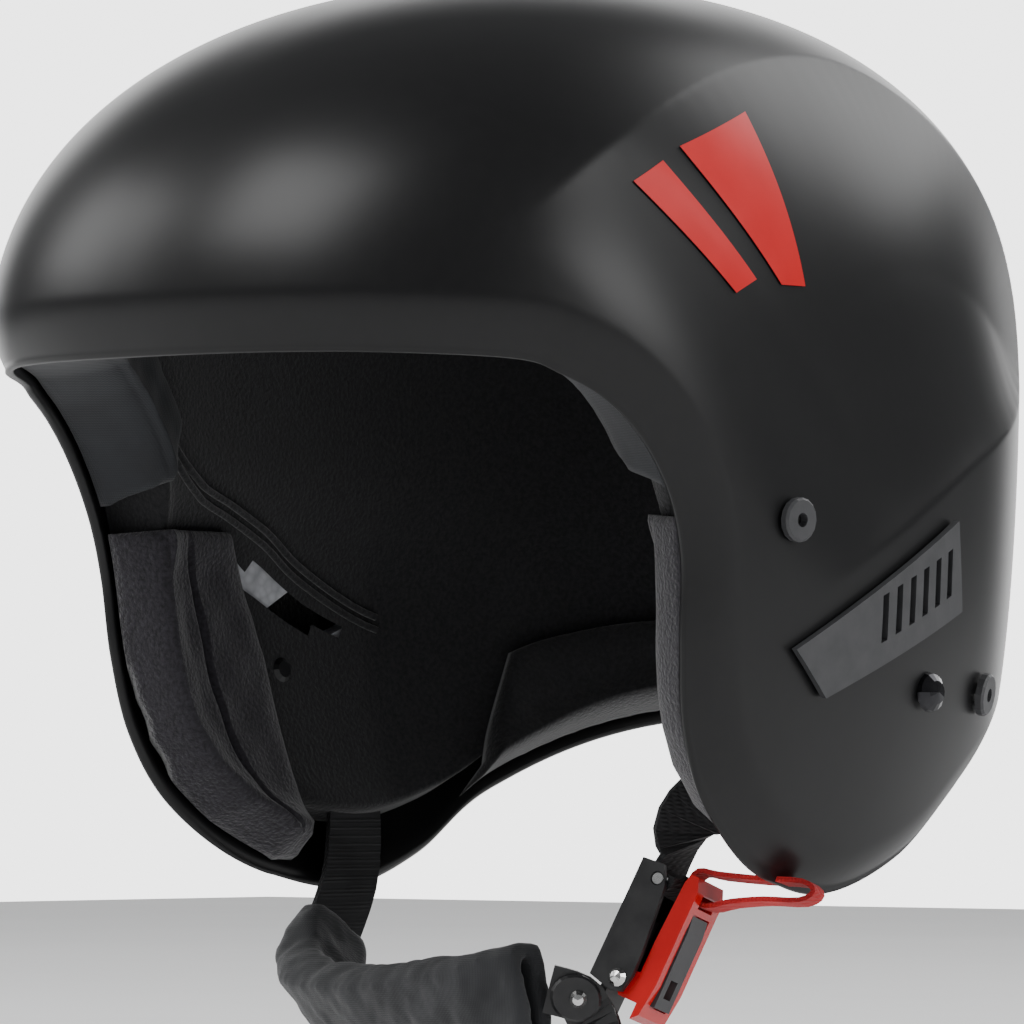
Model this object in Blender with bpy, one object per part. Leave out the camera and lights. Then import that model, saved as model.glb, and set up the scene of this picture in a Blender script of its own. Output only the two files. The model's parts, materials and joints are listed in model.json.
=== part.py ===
"""Hard-ear ski racing helmet: shell, foam, liner, ear pads, chin strap with a ratchet buckle.

Metres, +Z up. The helmet faces -Y and the wearer's left is +X. Everything is laid out in helmet
coordinates, whose zero height is the level of the ear bottoms, and hung from one empty that puts
the origin where the wearer's head touches the crown liner.
"""
import bpy
import bmesh
import numpy as np
from math import cos, pi, radians, sin
from mathutils import Vector

# ---- driving dimensions -------------------------------------------------------------------
HEAD_HEIGHT = 0.2115     # crown of the wearer's head above the ear bottoms: the part's origin
EQUATOR = 0.140          # height of the shell's widest section
CROWN = 0.241            # height of the shell's top
HALF_LENGTH = 0.146      # front to back, at the equator
HALF_WIDTH = 0.1145      # ear to ear, at the equator
BLUNT = 2.25             # exponent of the super-ellipse sections
CROWN_BACK = 0.012       # the crown sits this far behind the middle
SHELL_WALL = 0.003
FOAM_GAP = 0.0006        # glue line between the shell and the foam
FOAM_CROWN = 0.0235      # foam's inner face below the shell's outer face, at the crown
FOAM_EAR = 0.0125        # the same at the ears
LINER_WALL = 0.0035
PAD_GAP = 0.0015
PAD_PLAY = 0.0026
RIM_TUCK = 0.0045        # how far the shell's rim bends inwards
RIM_BAND = 0.014         # width of the bevelled band along the rim
PANEL_DEPTH = 0.0065     # depth of the recessed side panel
PANEL_FALL = 0.017       # distance over which the panel falls away from its ridge
COLUMNS = 56
RINGS = (0.14, 0.28, 0.42, 0.55, 0.66, 0.76, 0.84, 0.90, 0.945, 0.975, 1.0)
FOAM_RINGS = 9           # the foam uses the first rings, so its facets lie along the shell's
LINER_RINGS = 6

# Side view of the rim from brow to nape (y, z), in millimetres
RIM_SIDE = ((-97, 136.5), (-87, 133.2), (-75, 127), (-64, 117), (-55, 103), (-50.3, 87),
            (-48.5, 66), (-44, 45), (-32, 26), (-6, 9), (26, 3), (56, 12), (84, 30))
BROW_HEIGHT = 0.1385
NAPE_HEIGHT = 0.054
# Side view of the ridge round the recessed panel (y, z), in millimetres: open at the front
RIDGE_SIDE = ((-100, 166), (-63, 191), (-18, 210.5), (33, 219), (67, 210), (94, 191),
              (112, 162), (106, 134), (56, 112), (18, 93), (-11, 77))
PANEL_FADE = 0.045

# Hardware on each side (y, z)
STRAP_PIVOT = (0.042, 0.055)
GUARD_FRONT = (-0.019, 0.0975)
GUARD_REAR = (0.075, 0.055)
GRILLE_CORNERS = ((-0.016, 0.0635), (-0.004, 0.0545), (0.051, 0.0765), (0.049, 0.0955), (0.041, 0.0975))
SIDES = (("left", 1), ("right", -1))

# Ratchet buckle: its pivot pin's middle, its long direction and its outward face
BUCKLE_PIN = Vector((0.0526, -0.0119, -0.0195))
BUCKLE_ALONG = Vector((0.300, 0.295, 0.907)).normalized()
BUCKLE_OUT = Vector((0.902, 0.222, -0.3705)).normalized()
BUCKLE_ACROSS = BUCKLE_ALONG.cross(BUCKLE_OUT).normalized()
STRAP_WIDTH = 0.018
WEBBING = 0.0016

PAD_SNAP = (0.0115, 0.060)

# Ratchet buckle, in millimetres along and out of it
FRAME_HALF = 11.2
FRAME_WALL = 1.6
LEVER_HALF = 8.6
PIN_RADIUS = 1.6
BAR_RADIUS = 1.5
PIN_PLAY = 0.3
BAR_PLACE = (27.0, -1.6)
LOOP_HALF = 3.4
LOOP_THICK = 0.65
SPRING_TURNS = 4
SPRING_RADIUS = 2.35
SPRING_WIRE = 0.0004
SPRING_HALF = 4.2
SPRING_STEPS = 48


# ---- the shell's surface ------------------------------------------------------------------
def signed_power(value, power):
    return np.sign(value) * np.abs(value) ** power


def section(z):
    """Half width, half length and middle of the shell's section at height z."""
    z = np.asarray(z, float)
    rise = np.clip((z - EQUATOR) / (CROWN - EQUATOR), 0, 1)
    round_in = (1 - rise ** BLUNT) ** (1 / BLUNT)
    drop = np.clip((EQUATOR - z) / EQUATOR, 0, 1.3)
    width = HALF_WIDTH * round_in * (1 - 0.10 * drop ** 1.5 - 0.13 * drop ** 5)
    length = HALF_LENGTH * round_in * (1 - 0.05 * drop ** 2 - 0.07 * drop ** 4)
    return width, length, CROWN_BACK * rise ** 2


def at_angle(angle, z):
    """Point of the smooth shell at an angle round it (0 front, pi nape) and a height."""
    width, length, middle = section(z)
    x = width * signed_power(np.sin(angle), 2 / BLUNT)
    y = middle - length * signed_power(np.cos(angle), 2 / BLUNT)
    return np.stack([x, y, np.broadcast_to(z, np.shape(x))], -1)


def angle_at(y, z):
    _, length, middle = section(z)
    ahead = np.clip((middle - y) / length, -1, 1)
    return np.arccos(signed_power(ahead, BLUNT / 2))


def on_map(p, q):
    """Point of the shell from map coordinates: the crown is 0, the equator the unit circle."""
    radius = np.hypot(p, q)
    angle = np.arctan2(p, -q)
    cap = np.clip(radius, 1e-9, 1)
    rise = np.clip(1 - np.sin(cap * pi / 2) ** BLUNT, 0, 1) ** (1 / BLUNT)
    z = np.where(radius <= 1, EQUATOR + (CROWN - EQUATOR) * rise, EQUATOR * (2 - radius))
    return at_angle(angle, z)


def normal_on_map(p, q):
    """Outward normal of the smooth shell at map coordinates."""
    step = 1e-3
    along_p = on_map(p + step, q) - on_map(p - step, q)
    along_q = on_map(p, q + step) - on_map(p, q - step)
    normal = np.cross(along_p, along_q)
    normal /= np.linalg.norm(normal, axis=-1, keepdims=True)
    facing = np.sum(normal * (on_map(p, q) - np.array([0, 0, EQUATOR - 0.06])), -1, keepdims=True)
    return normal * np.sign(facing)


def smooth_curve(points, steps):
    """Catmull-Rom curve through the points."""
    points = np.asarray(points, float)
    padded = np.vstack([2 * points[0] - points[1], points, 2 * points[-1] - points[-2]])
    curve = []
    for index in range(len(points) - 1):
        a, b, c, d = padded[index:index + 4]
        for t in np.arange(steps) / steps:
            curve.append(0.5 * (2 * b + (c - a) * t + (2 * a - 5 * b + 4 * c - d) * t * t
                                + (3 * b - a - 3 * c + d) * t ** 3))
    curve.append(points[-1])
    return np.array(curve)


def rim_map(count):
    """The rim as map coordinates, evenly spaced, from the brow round the left ear and back."""
    reach = 0.128
    half = [(0.0, BROW_HEIGHT), (0.35, BROW_HEIGHT), (0.62, BROW_HEIGHT - 0.0005)]
    half += [(float(angle_at(y / 1000, z / 1000)), z / 1000) for y, z in RIM_SIDE]
    half += [(2.55, NAPE_HEIGHT - 0.008), (pi, NAPE_HEIGHT)]
    curve = smooth_curve([(angle * reach, z) for angle, z in half], 12)
    angle, z = curve[:, 0] / reach, curve[:, 1]
    points = at_angle(angle, z)
    run = np.concatenate([[0], np.cumsum(np.linalg.norm(np.diff(points, axis=0), axis=1))])
    even = np.linspace(0, run[-1], count // 2 + 1)
    angle, z = np.interp(even, run, angle), np.interp(even, run, z)
    radius = 2 - z / EQUATOR
    p, q = radius * np.sin(angle), -radius * np.cos(angle)
    return np.concatenate([p, -p[-2:0:-1]]), np.concatenate([q, q[-2:0:-1]])


MAP_MIDDLE = 0.55
MAP_SPREAD = 1.25


def shell_map(ring, count=COLUMNS):
    """Map coordinates of one ring of the shell's grid: 0 is the middle, 1 the rim."""
    p, q = rim_map(count)
    turn = 2 * pi * np.arange(count) / count
    even_p, even_q = MAP_SPREAD * np.sin(turn), -MAP_SPREAD * np.cos(turn)
    return (ring * ((1 - ring) * even_p + ring * p),
            MAP_MIDDLE + ring * ((1 - ring) * even_q + ring * (q - MAP_MIDDLE)))


def distance_to_line(points, line):
    """Shortest distance from each point to a polyline."""
    best = np.full(len(points), 1e9)
    for start, end in zip(line[:-1], line[1:]):
        run = end - start
        along = np.clip((points - start) @ run / (run @ run), 0, 1)
        best = np.minimum(best, np.linalg.norm(points - start - along[:, None] * run, axis=1))
    return best


def inside_outline(points, outline):
    """Whether each 2-D point lies inside a closed outline."""
    inside = np.zeros(len(points), bool)
    for (y0, z0), (y1, z1) in zip(outline, np.roll(outline, -1, axis=0)):
        crosses = (z0 > points[:, 1]) != (z1 > points[:, 1])
        level = y0 + (points[:, 1] - z0) * (y1 - y0) / (z1 - z0 if z1 != z0 else 1e-9)
        inside ^= crosses & (points[:, 0] < level)
    return inside


RIDGE = smooth_curve(RIDGE_SIDE, 6) / 1000


def panel_depth(points):
    """How far the side panel lies below the smooth shell at these points."""
    side = points[:, 1:]
    inside = inside_outline(side, RIDGE)
    fall = distance_to_line(side, RIDGE)
    fade = np.clip(distance_to_line(side, np.array([RIDGE[-1], RIDGE[0]])) / PANEL_FADE, 0, 1)
    fade = fade * fade * (3 - 2 * fade)
    return np.where(inside, PANEL_DEPTH * fade * (1 - np.exp(-fall / PANEL_FALL)), 0)


RIM_P, RIM_Q = rim_map(240)
RIM_LINE = on_map(np.append(RIM_P, RIM_P[0]), np.append(RIM_Q, RIM_Q[0]))


def rim_depth(points):
    """How far the bevelled band along the rim bends inwards."""
    near = np.clip(1 - distance_to_line(points, RIM_LINE) / RIM_BAND, 0, 1)
    return RIM_TUCK * near ** 1.5


def shell_point(p, q, depth, follow=1.0):
    """Points at a depth below the finished outer face of the shell."""
    p, q = np.atleast_1d(p), np.atleast_1d(q)
    points = on_map(p, q)
    relief = follow * panel_depth(points) + rim_depth(points)
    return points - normal_on_map(p, q) * (relief + depth)[:, None]


def foam_depth(points):
    """Depth of the foam's inner face: thick over the crown, thin round the ears."""
    thin = np.clip((0.118 - points[:, 2]) / 0.045, 0, 1)
    thin = thin * thin * (3 - 2 * thin)
    nape = np.clip((points[:, 1] - 0.045) / 0.04, 0, 1)
    thin = thin * (1 - 0.75 * nape)
    return FOAM_CROWN + (FOAM_EAR - FOAM_CROWN) * thin


def map_at_side(y, z, side):
    """Map coordinates of a place on the shell's side, from its side view."""
    angle = angle_at(np.asarray(y, float), np.asarray(z, float))
    z = np.asarray(z, float)
    rise = np.clip((z - EQUATOR) / (CROWN - EQUATOR), 0, 1)
    cap = np.arcsin(np.clip((1 - rise ** BLUNT) ** (1 / BLUNT), 0, 1)) * 2 / pi
    radius = np.where(z > EQUATOR, cap, 2 - z / EQUATOR)
    return side * radius * np.sin(angle), -radius * np.cos(angle)


# ---- turning shapes into objects ------------------------------------------------------------
def clear_scene():
    for old in list(bpy.data.objects):
        bpy.data.objects.remove(old, do_unlink=True)


def finish(name):
    """A Principled finish by name, made once."""
    known = bpy.data.materials.get(name)
    if known:
        return known
    colour, roughness, metallic = FINISHES[name]
    made = bpy.data.materials.new(name)
    made.use_nodes = True
    surface = made.node_tree.nodes["Principled BSDF"]
    surface.inputs["Base Color"].default_value = (*colour, 1)
    surface.inputs["Roughness"].default_value = roughness
    surface.inputs["Metallic"].default_value = metallic
    made.diffuse_color = (*colour, 1)
    return made


FINISHES = {
    "shell_lacquer": ((0.012, 0.012, 0.013), 0.38, 0.0),
    "foam_grey": ((0.55, 0.56, 0.58), 0.8, 0.0),
    "liner_fabric": ((0.008, 0.008, 0.009), 0.9, 0.0),
    "brow_fabric": ((0.03, 0.034, 0.042), 0.7, 0.0),
    "pad_suede": ((0.03, 0.027, 0.035), 0.95, 0.0),
    "grey_plastic": ((0.10, 0.10, 0.105), 0.5, 0.0),
    "black_plastic": ((0.015, 0.015, 0.016), 0.4, 0.0),
    "red_lacquer": ((0.75, 0.02, 0.02), 0.25, 0.0),
    "steel": ((0.75, 0.75, 0.74), 0.2, 1.0),
    "black_chrome": ((0.03, 0.03, 0.032), 0.12, 0.8),
    "webbing_black": ((0.012, 0.012, 0.013), 0.8, 0.0),
    "webbing_red": ((0.70, 0.02, 0.03), 0.8, 0.0),
    "sleeve_nylon": ((0.035, 0.037, 0.042), 0.6, 0.0),
    "mesh_black": ((0.01, 0.01, 0.01), 0.9, 0.0),
}


def add(name, bm, material, smooth=30):
    """Make one object of the helmet from a bmesh."""
    bmesh.ops.recalc_face_normals(bm, faces=bm.faces)
    mesh = bpy.data.meshes.new(name)
    bm.to_mesh(mesh)
    bm.free()
    mesh.materials.append(finish(material))
    if smooth:
        mesh.shade_smooth()
        mesh.set_sharp_from_angle(angle=radians(smooth))
    made = bpy.data.objects.new(name, mesh)
    bpy.context.scene.collection.objects.link(made)
    made.parent = bpy.data.objects["helmet_frame"]
    return made


def loft(bm, rings, closed_rings=True, caps=True):
    """Skin a run of equal rings of points, with its two ends capped."""
    rows = [[bm.verts.new(point) for point in ring] for ring in rings]
    count = len(rows[0])
    for low, high in zip(rows[:-1], rows[1:]):
        for k in range(count if closed_rings else count - 1):
            j = (k + 1) % count
            bm.faces.new((low[k], low[j], high[j], high[k]))
    if caps:
        bm.faces.new(rows[0])
        bm.faces.new(list(reversed(rows[-1])))
    return rows


def stitch(bm, first, second, closed=True):
    """Triangles between two equal rows of vertices, all split the same way."""
    count = len(first)
    for k in range(count if closed else count - 1):
        j = (k + 1) % count
        bm.faces.new((first[k], first[j], second[j]))
        bm.faces.new((first[k], second[j], second[k]))


def dome_solid(outer_rings, inner_rings):
    """A closed cap: outer rings and inner rings, each from the middle point to the edge."""
    bm = bmesh.new()
    edges = []
    for rings in (outer_rings, inner_rings):
        middle = bm.verts.new(rings[0][0])
        rows = [[bm.verts.new(point) for point in ring] for ring in rings[1:]]
        count = len(rows[0])
        for k in range(count):
            bm.faces.new((middle, rows[0][k], rows[0][(k + 1) % count]))
        for low, high in zip(rows[:-1], rows[1:]):
            stitch(bm, low, high)
        edges.append(rows[-1])
    stitch(bm, edges[0], edges[1])
    return bm


def patch_solid(outer, inner):
    """A closed pad from two equal grids of points."""
    bm = bmesh.new()
    grids = []
    for grid in (outer, inner):
        rows = [[bm.verts.new(point) for point in row] for row in grid]
        for low, high in zip(rows[:-1], rows[1:]):
            stitch(bm, low, high, closed=False)
        grids.append(rows)
    borders = []
    for rows in grids:
        border = rows[0] + [row[-1] for row in rows[1:-1]] + rows[-1][::-1]
        border += [row[0] for row in rows[-2:0:-1]]
        borders.append(border)
    stitch(bm, borders[0], borders[1])
    return bm


def cutter(name, bm):
    """A hidden solid that other pieces are cut with."""
    made = add(name, bm, "steel", smooth=0)
    made.hide_render = True
    made.display_type = "WIRE"
    return made


def cut(target, tool):
    bite = target.modifiers.new("cut_" + tool.name, "BOOLEAN")
    bite.operation = "DIFFERENCE"
    bite.object = tool


def drum(bm, middle, axis, radius, start, end, segments=16, radius_end=None):
    """A disc or a cone along an axis, between two distances from its middle."""
    axis = Vector(axis).normalized()
    turn = axis.to_track_quat("Z", "Y").to_matrix()
    rings = []
    for away, size in ((start, radius), (end, radius if radius_end is None else radius_end)):
        ring = []
        for k in range(segments):
            turned = 2 * pi * k / segments
            ring.append(Vector(middle) + turn @ Vector((size * cos(turned), size * sin(turned), away)))
        rings.append(ring)
    return loft(bm, rings)


def turned(middle, axis, profile, segments=16, bore=True):
    """A turned piece from its profile of (radius, height): a ring if it has a bore."""
    axis = Vector(axis).normalized()
    turn = axis.to_track_quat("Z", "Y").to_matrix()
    bm = bmesh.new()
    rows = []
    for radius, height in profile:
        if radius == 0:
            rows.append([bm.verts.new(Vector(middle) + axis * height)])
            continue
        rows.append([bm.verts.new(Vector(middle) + turn @ Vector(
            (radius * cos(2 * pi * k / segments), radius * sin(2 * pi * k / segments), height)))
            for k in range(segments)])
    pairs = list(zip(rows[:-1], rows[1:]))
    if bore:
        pairs.append((rows[-1], rows[0]))
    for low, high in pairs:
        if len(low) == 1 or len(high) == 1:
            tip, ring = (low[0], high) if len(low) == 1 else (high[0], low)
            for k in range(segments):
                bm.faces.new((tip, ring[k], ring[(k + 1) % segments]))
        else:
            stitch(bm, low, high)
    return bm


# ---- shell, foam and soft lining ------------------------------------------------------------
def side_place(y, z, side, depth=0.0):
    """A place on the shell's side and its outward normal."""
    p, q = map_at_side(y, z, side)
    point = shell_point(p, q, depth)[0]
    return Vector(point), Vector(normal_on_map(np.atleast_1d(p), np.atleast_1d(q))[0])


def shell_rings(rings, depth_at, follow=1.0):
    layers = [shell_point(0, MAP_MIDDLE, depth_at(shell_point(0, MAP_MIDDLE, 0)), follow)]
    for ring in rings:
        p, q = shell_map(ring)
        layers.append(shell_point(p, q, depth_at(on_map(p, q)), follow))
    return layers


def hole_tool(name, places, radius, start, end, level=False):
    """One cutter with a drum through the wall at each place, square to it or level."""
    bm = bmesh.new()
    for (y, z), side in places:
        point, normal = side_place(y, z, side)
        drum(bm, point, (side, 0, 0) if level else normal, radius, start, end, 12)
    return cutter(name, bm)


def both_sides(*spots):
    return [(spot, side) for spot in spots for _, side in SIDES]


def grille_frame(side):
    """Corners of the grille on the shell and the directions across and out of it."""
    places = [side_place(y, z, side) for y, z in GRILLE_CORNERS]
    out = sum((normal for _, normal in places), Vector()).normalized()
    middle = sum((point for point, _ in places), Vector()) / len(places)
    across = (places[2][0] - places[1][0])
    across = (across - out * across.dot(out)).normalized()
    return places, middle, across, out.cross(across) * side, out


def grille_outline(side, shrink):
    """The grille's outline in its own plane, drawn in by a margin."""
    places, middle, across, upward, _ = grille_frame(side)
    flat = [((point - middle).dot(across), (point - middle).dot(upward)) for point, _ in places]
    reach = [np.hypot(x, y) for x, y in flat]
    return [(x * (1 - shrink / far), y * (1 - shrink / far)) for (x, y), far in zip(flat, reach)]


def grille_prism(bm, side, outline, start, end):
    _, middle, across, upward, out = grille_frame(side)
    rings = [[middle + across * x + upward * y + out * away for x, y in outline]
             for away in (start, end)]
    return loft(bm, rings)


def make_shell():
    outer = shell_rings(RINGS, lambda points: 0.0)
    inner = shell_rings(RINGS, lambda points: SHELL_WALL)
    shell = add("outer_shell", dome_solid(outer, inner), "shell_lacquer", smooth=40)
    cut(shell, hole_tool("tool_screw_holes", both_sides(GUARD_FRONT, GUARD_REAR), 0.0033, -0.012, 0.012))
    cut(shell, hole_tool("tool_rivet_holes", both_sides(STRAP_PIVOT), 0.0033, -0.012, 0.012, True))
    windows = bmesh.new()
    for _, side in SIDES:
        grille_prism(windows, side, grille_outline(side, 0.004), -0.02, 0.02)
    cut(shell, cutter("tool_ear_windows", windows))


def make_foam():
    rings = RINGS[:FOAM_RINGS]
    wall = SHELL_WALL + FOAM_GAP
    foam = add("eps_liner", dome_solid(shell_rings(rings, lambda points: wall),
                                       shell_rings(rings, foam_depth, 0.0)), "foam_grey")
    tools = bmesh.new()
    for _, side in SIDES:
        grille_prism(tools, side, grille_outline(side, 0.004), -0.04, 0.02)
    cut(foam, cutter("tool_foam_windows", tools))
    cut(foam, hole_tool("tool_insert_room", both_sides(GUARD_FRONT, GUARD_REAR), 0.007, -0.0075, 0.01))
    channels = bmesh.new()
    for _, side in SIDES:
        corners = ((0.010, -0.02), (0.060, -0.02), (0.060, 0.068), (0.024, 0.068))
        loft(channels, [[(side * x, y, z) for y, z in corners] for x in (0.06, 0.125)])
    cut(foam, cutter("tool_strap_channels", channels))


LINER_EDGE = ((-150, 150), (-77, 148), (-53, 127), (-31, 110), (-10, 104), (33, 84), (70, 78), (150, 88))


def liner_reach(column):
    """How far out along one column of the grid the crown liner goes."""
    heights = np.array(LINER_EDGE) / 1000
    for ring in np.arange(0.4, 0.9, 0.01):
        p, q = shell_map(ring)
        _, y, z = on_map(p[column], q[column])
        if z < np.interp(y, heights[:, 0], heights[:, 1]):
            return ring
    return 0.88


def make_crown_liner():
    reach = np.array([liner_reach(column) for column in range(COLUMNS)])
    layers = []
    for extra in (PAD_GAP, PAD_GAP + LINER_WALL):
        middle = shell_point(0, MAP_MIDDLE, 0, 0)
        rings = [shell_point(0, MAP_MIDDLE, foam_depth(middle) + extra, 0)]
        for share in np.linspace(0, 1, LINER_RINGS + 1)[1:]:
            grid = [shell_map(share * far) for far in reach]
            p = np.array([row[0][k] for k, row in enumerate(grid)])
            q = np.array([row[1][k] for k, row in enumerate(grid)])
            rings.append(shell_point(p, q, foam_depth(on_map(p, q)) + extra, 0))
        layers.append(rings)
    add("crown_liner", dome_solid(*layers), "liner_fabric")


def behind_foam(points, reach=0.006):
    """Outer face of a pad: against the shell at the rim, inside the foam further in."""
    away = distance_to_line(points, RIM_LINE)
    share = np.clip((away - 0.002) / (reach - 0.002), 0, 1)
    snug = SHELL_WALL + 0.0012
    return snug + (foam_depth(points) + PAD_PLAY - snug) * share


def make_pad(name, p, q, thickness, material):
    """A pad over a grid of map coordinates, rounded off towards its edges."""
    shape = p.shape
    points = on_map(p.ravel(), q.ravel())
    outer_depth = behind_foam(points)
    rows = np.minimum(np.arange(shape[0]), np.arange(shape[0])[::-1])
    columns = np.minimum(np.arange(shape[1]), np.arange(shape[1])[::-1])
    crown = np.minimum(1, 0.72 + 0.28 * np.minimum.outer(rows, columns) / 1.5)
    inner_depth = np.maximum(outer_depth + 0.006, thickness * crown.ravel())
    outer = shell_point(p.ravel(), q.ravel(), outer_depth, 0).reshape(*shape, 3)
    inner = shell_point(p.ravel(), q.ravel(), inner_depth, 0).reshape(*shape, 3)
    add(name, patch_solid(outer, inner), material)


EAR_PAD_FRONT = ((7, -2), (16, -19), (26, -31), (45, -42.5), (66, -47), (82, -48.5), (97, -51))
EAR_PAD_BACK = ((7, 6), (16, 6), (26, 5), (45, 3), (66, 0), (82, -6), (97, -16))
EAR_PAD_THICK = 0.0225


def make_ear_pads():
    front, back = np.array(EAR_PAD_FRONT) / 1000, np.array(EAR_PAD_BACK) / 1000
    heights = np.linspace(front[0, 0], front[-1, 0], 9)
    for word, side in SIDES:
        p, q = np.empty((9, 7)), np.empty((9, 7))
        for row, z in enumerate(heights):
            low, high = np.interp(z, *front.T), np.interp(z, *back.T)
            y = low + (high - low) * np.linspace(0, 1, 7) ** 1.15
            p[row], q[row] = map_at_side(y, np.full(7, z), side)
        make_pad("ear_pad_" + word, p, q, EAR_PAD_THICK, "pad_suede")


def rim_strip(first, last, rings, count=112):
    """Map coordinates of a strip along the rim between two columns."""
    columns = np.arange(first, last + 1) % count
    grids = [shell_map(ring, count) for ring in rings]
    return (np.array([grid[0][columns] for grid in grids]),
            np.array([grid[1][columns] for grid in grids]))


def make_rim_pads():
    rim = on_map(*rim_map(112))
    half = int(np.argmax(rim[:56, 2] < 0.1005)) - 1
    p, q = rim_strip(-half, half, (0.993, 0.972, 0.94, 0.915, 0.90))
    make_pad("brow_liner", p, q, 0.0285, "brow_fabric")
    start = int(np.argmax((rim[:56, 1] > 0.068)))
    p, q = rim_strip(start, 112 - start, (0.985, 0.95, 0.90, 0.86, 0.83))
    make_pad("neck_roll", p, q, 0.029, "liner_fabric")


# ---- hardware on the shell ------------------------------------------------------------------
def side_grid(corners, across, along):
    """A grid of points over a four-cornered place on the side, in side-view corners."""
    (a, b, c, d) = [np.array(corner) for corner in corners[:4]]
    rows = []
    for v in np.linspace(0, 1, along):
        start, end = a + (b - a) * v, d + (c - d) * v
        rows.append([start + (end - start) * u for u in np.linspace(0, 1, across)])
    return np.array(rows)


def side_plate(name, corners, side, low, high, material, across, along):
    """A thin plate that follows the shell's side, between two depths below its face."""
    grid = side_grid(corners, across, along)
    y, z = grid[..., 0].ravel(), grid[..., 1].ravel()
    p, q = map_at_side(y, z, side)
    shape = (*grid.shape[:2], 3)
    return add(name, patch_solid(shell_point(p, q, high).reshape(shape),
                                 shell_point(p, q, low).reshape(shape)), material)


def shrunk(corners, margin):
    """Corners drawn towards their middle by a share of their reach."""
    middle = np.mean(np.array(corners), axis=0)
    return [tuple(middle + (np.array(corner) - middle) * margin) for corner in corners]


GRILLE_PLATE = ((-0.0175, 0.0655), (-0.0045, 0.0535), (0.0525, 0.0760), (0.0475, 0.0990))
SLOT_COUNT = 6
SLOT_PITCH = 0.0062
SLOT_WIDTH = 0.0026
SLOT_LENGTH = 0.0115
SLOT_SLANT = radians(18)
BADGE = ((-0.062, 0.178), (-0.030, 0.160), (-0.012, 0.178), (-0.016, 0.198))


def make_side_hardware():
    for word, side in SIDES:
        grille = side_plate("ear_grille_" + word, GRILLE_PLATE, side, -0.0006, -0.0024,
                            "grey_plastic", 10, 4)
        slots = bmesh.new()
        for index in range(SLOT_COUNT):
            middle = (index - 1.5) * SLOT_PITCH
            half, reach = SLOT_WIDTH / 2, SLOT_LENGTH / 2
            lean = reach * np.tan(SLOT_SLANT)
            outline = [(middle - half - lean, -reach), (middle + half - lean, -reach),
                       (middle + half + lean, reach), (middle - half + lean, reach)]
            grille_prism(slots, side, outline, -0.02, 0.02)
        cut(grille, cutter("tool_slots_" + word, slots))
        side_plate("ear_mesh_" + word, shrunk(GRILLE_PLATE, 0.60), side, 0.0016, 0.0008,
                   "mesh_black", 6, 3)
        side_plate("side_badge_" + word, BADGE, side, -0.0006, -0.0010, "red_lacquer", 5, 5)
        for place, spot in (("front", GUARD_FRONT), ("rear", GUARD_REAR)):
            point, normal = side_place(*spot, side)
            washer = ((0.0018, 0.0008), (0.0056, 0.0008), (0.0056, 0.0024), (0.0050, 0.0030),
                      (0.0018, 0.0030))
            add("guard_washer_%s_%s" % (place, word), turned(point, normal, washer), "grey_plastic")
            insert = ((0.0013, 0.0004), (0.0013, -0.0064), (0.0042, -0.0064), (0.0042, -0.0054),
                      (0.0029, -0.0048), (0.0029, 0.0004))
            add("guard_insert_%s_%s" % (place, word), turned(point, normal, insert, 12), "steel")
        point, _ = side_place(*STRAP_PIVOT, side)
        outward = Vector((side, 0, 0))
        rivet = ((0, 0.0042), (0.0030, 0.0036), (0.0048, 0.0022), (0.0052, 0.0011), (0.0028, 0.0011),
                 (0.0028, -0.0103), (0.0044, -0.0103), (0.0040, -0.0112), (0, -0.0112))
        add("strap_rivet_" + word, turned(point, outward, rivet, 16, bore=False), "black_chrome")
        backing = ((0.0032, -0.0089), (0.0062, -0.0089), (0.0062, -0.0099), (0.0032, -0.0099))
        add("rivet_washer_" + word, turned(point, outward, backing, 16), "steel")
        y, z = PAD_SNAP
        point, normal = side_place(y, z, side, depth=foam_depth(np.array([[0, y, z]]))[0])
        snap = ((0, 0.0), (0.0036, -0.0002), (0.0040, -0.0016), (0.0022, -0.0030), (0, -0.0030))
        add("pad_snap_" + word, turned(point - normal * 0.0006, normal, snap, 12, bore=False), "black_plastic")


# ---- chin strap and ratchet buckle ----------------------------------------------------------
def ribbon_rings(path, width, thickness, steps=4, taper=None, start=0.0, end=1.0):
    """Four-cornered sections along a path of (place, width direction)."""
    places = smooth_curve([place for place, _ in path], steps)
    turns = smooth_curve([turn for _, turn in path], steps)
    run = np.linspace(0, 1, len(places))
    tangents = np.gradient(places, axis=0)
    rings = []
    for share, place, turn, tangent in zip(run, places, turns, tangents):
        if not start - 1e-9 <= share <= end + 1e-9:
            continue
        tangent = tangent / np.linalg.norm(tangent)
        wide = turn - tangent * (turn @ tangent)
        wide = wide / np.linalg.norm(wide)
        thick = np.cross(tangent, wide)
        size = taper((share - start) / (end - start)) if taper else (1, 1)
        half_w, half_t = width / 2 * size[0], thickness / 2 * size[1]
        rings.append((place, wide * half_w, thick * half_t))
    return rings


def corners_of(ring, chamfer=0.0):
    """Outline of one section: a rectangle, or one with its corners cut off."""
    place, wide, thick = ring
    if not chamfer:
        return [place + wide + thick, place - wide + thick, place - wide - thick, place + wide - thick]
    k, m = 1 - chamfer, 0.45
    return [place + wide * k + thick, place - wide * k + thick, place - wide + thick * m,
            place - wide - thick * m, place - wide * k - thick, place + wide * k - thick,
            place + wide - thick * m, place + wide + thick * m]


def make_ribbon(name, path, width, thickness, material, steps=4, **rest):
    bm = bmesh.new()
    loft(bm, [corners_of(ring) for ring in ribbon_rings(path, width, thickness, steps, **rest)])
    return add(name, bm, material, smooth=35)


def buckle_place(along, out, across=0.0):
    """A place on the buckle, in millimetres from its pivot pin's middle."""
    return (BUCKLE_PIN + BUCKLE_ALONG * (along / 1000) + BUCKLE_OUT * (out / 1000)
            + BUCKLE_ACROSS * (across / 1000))


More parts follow.
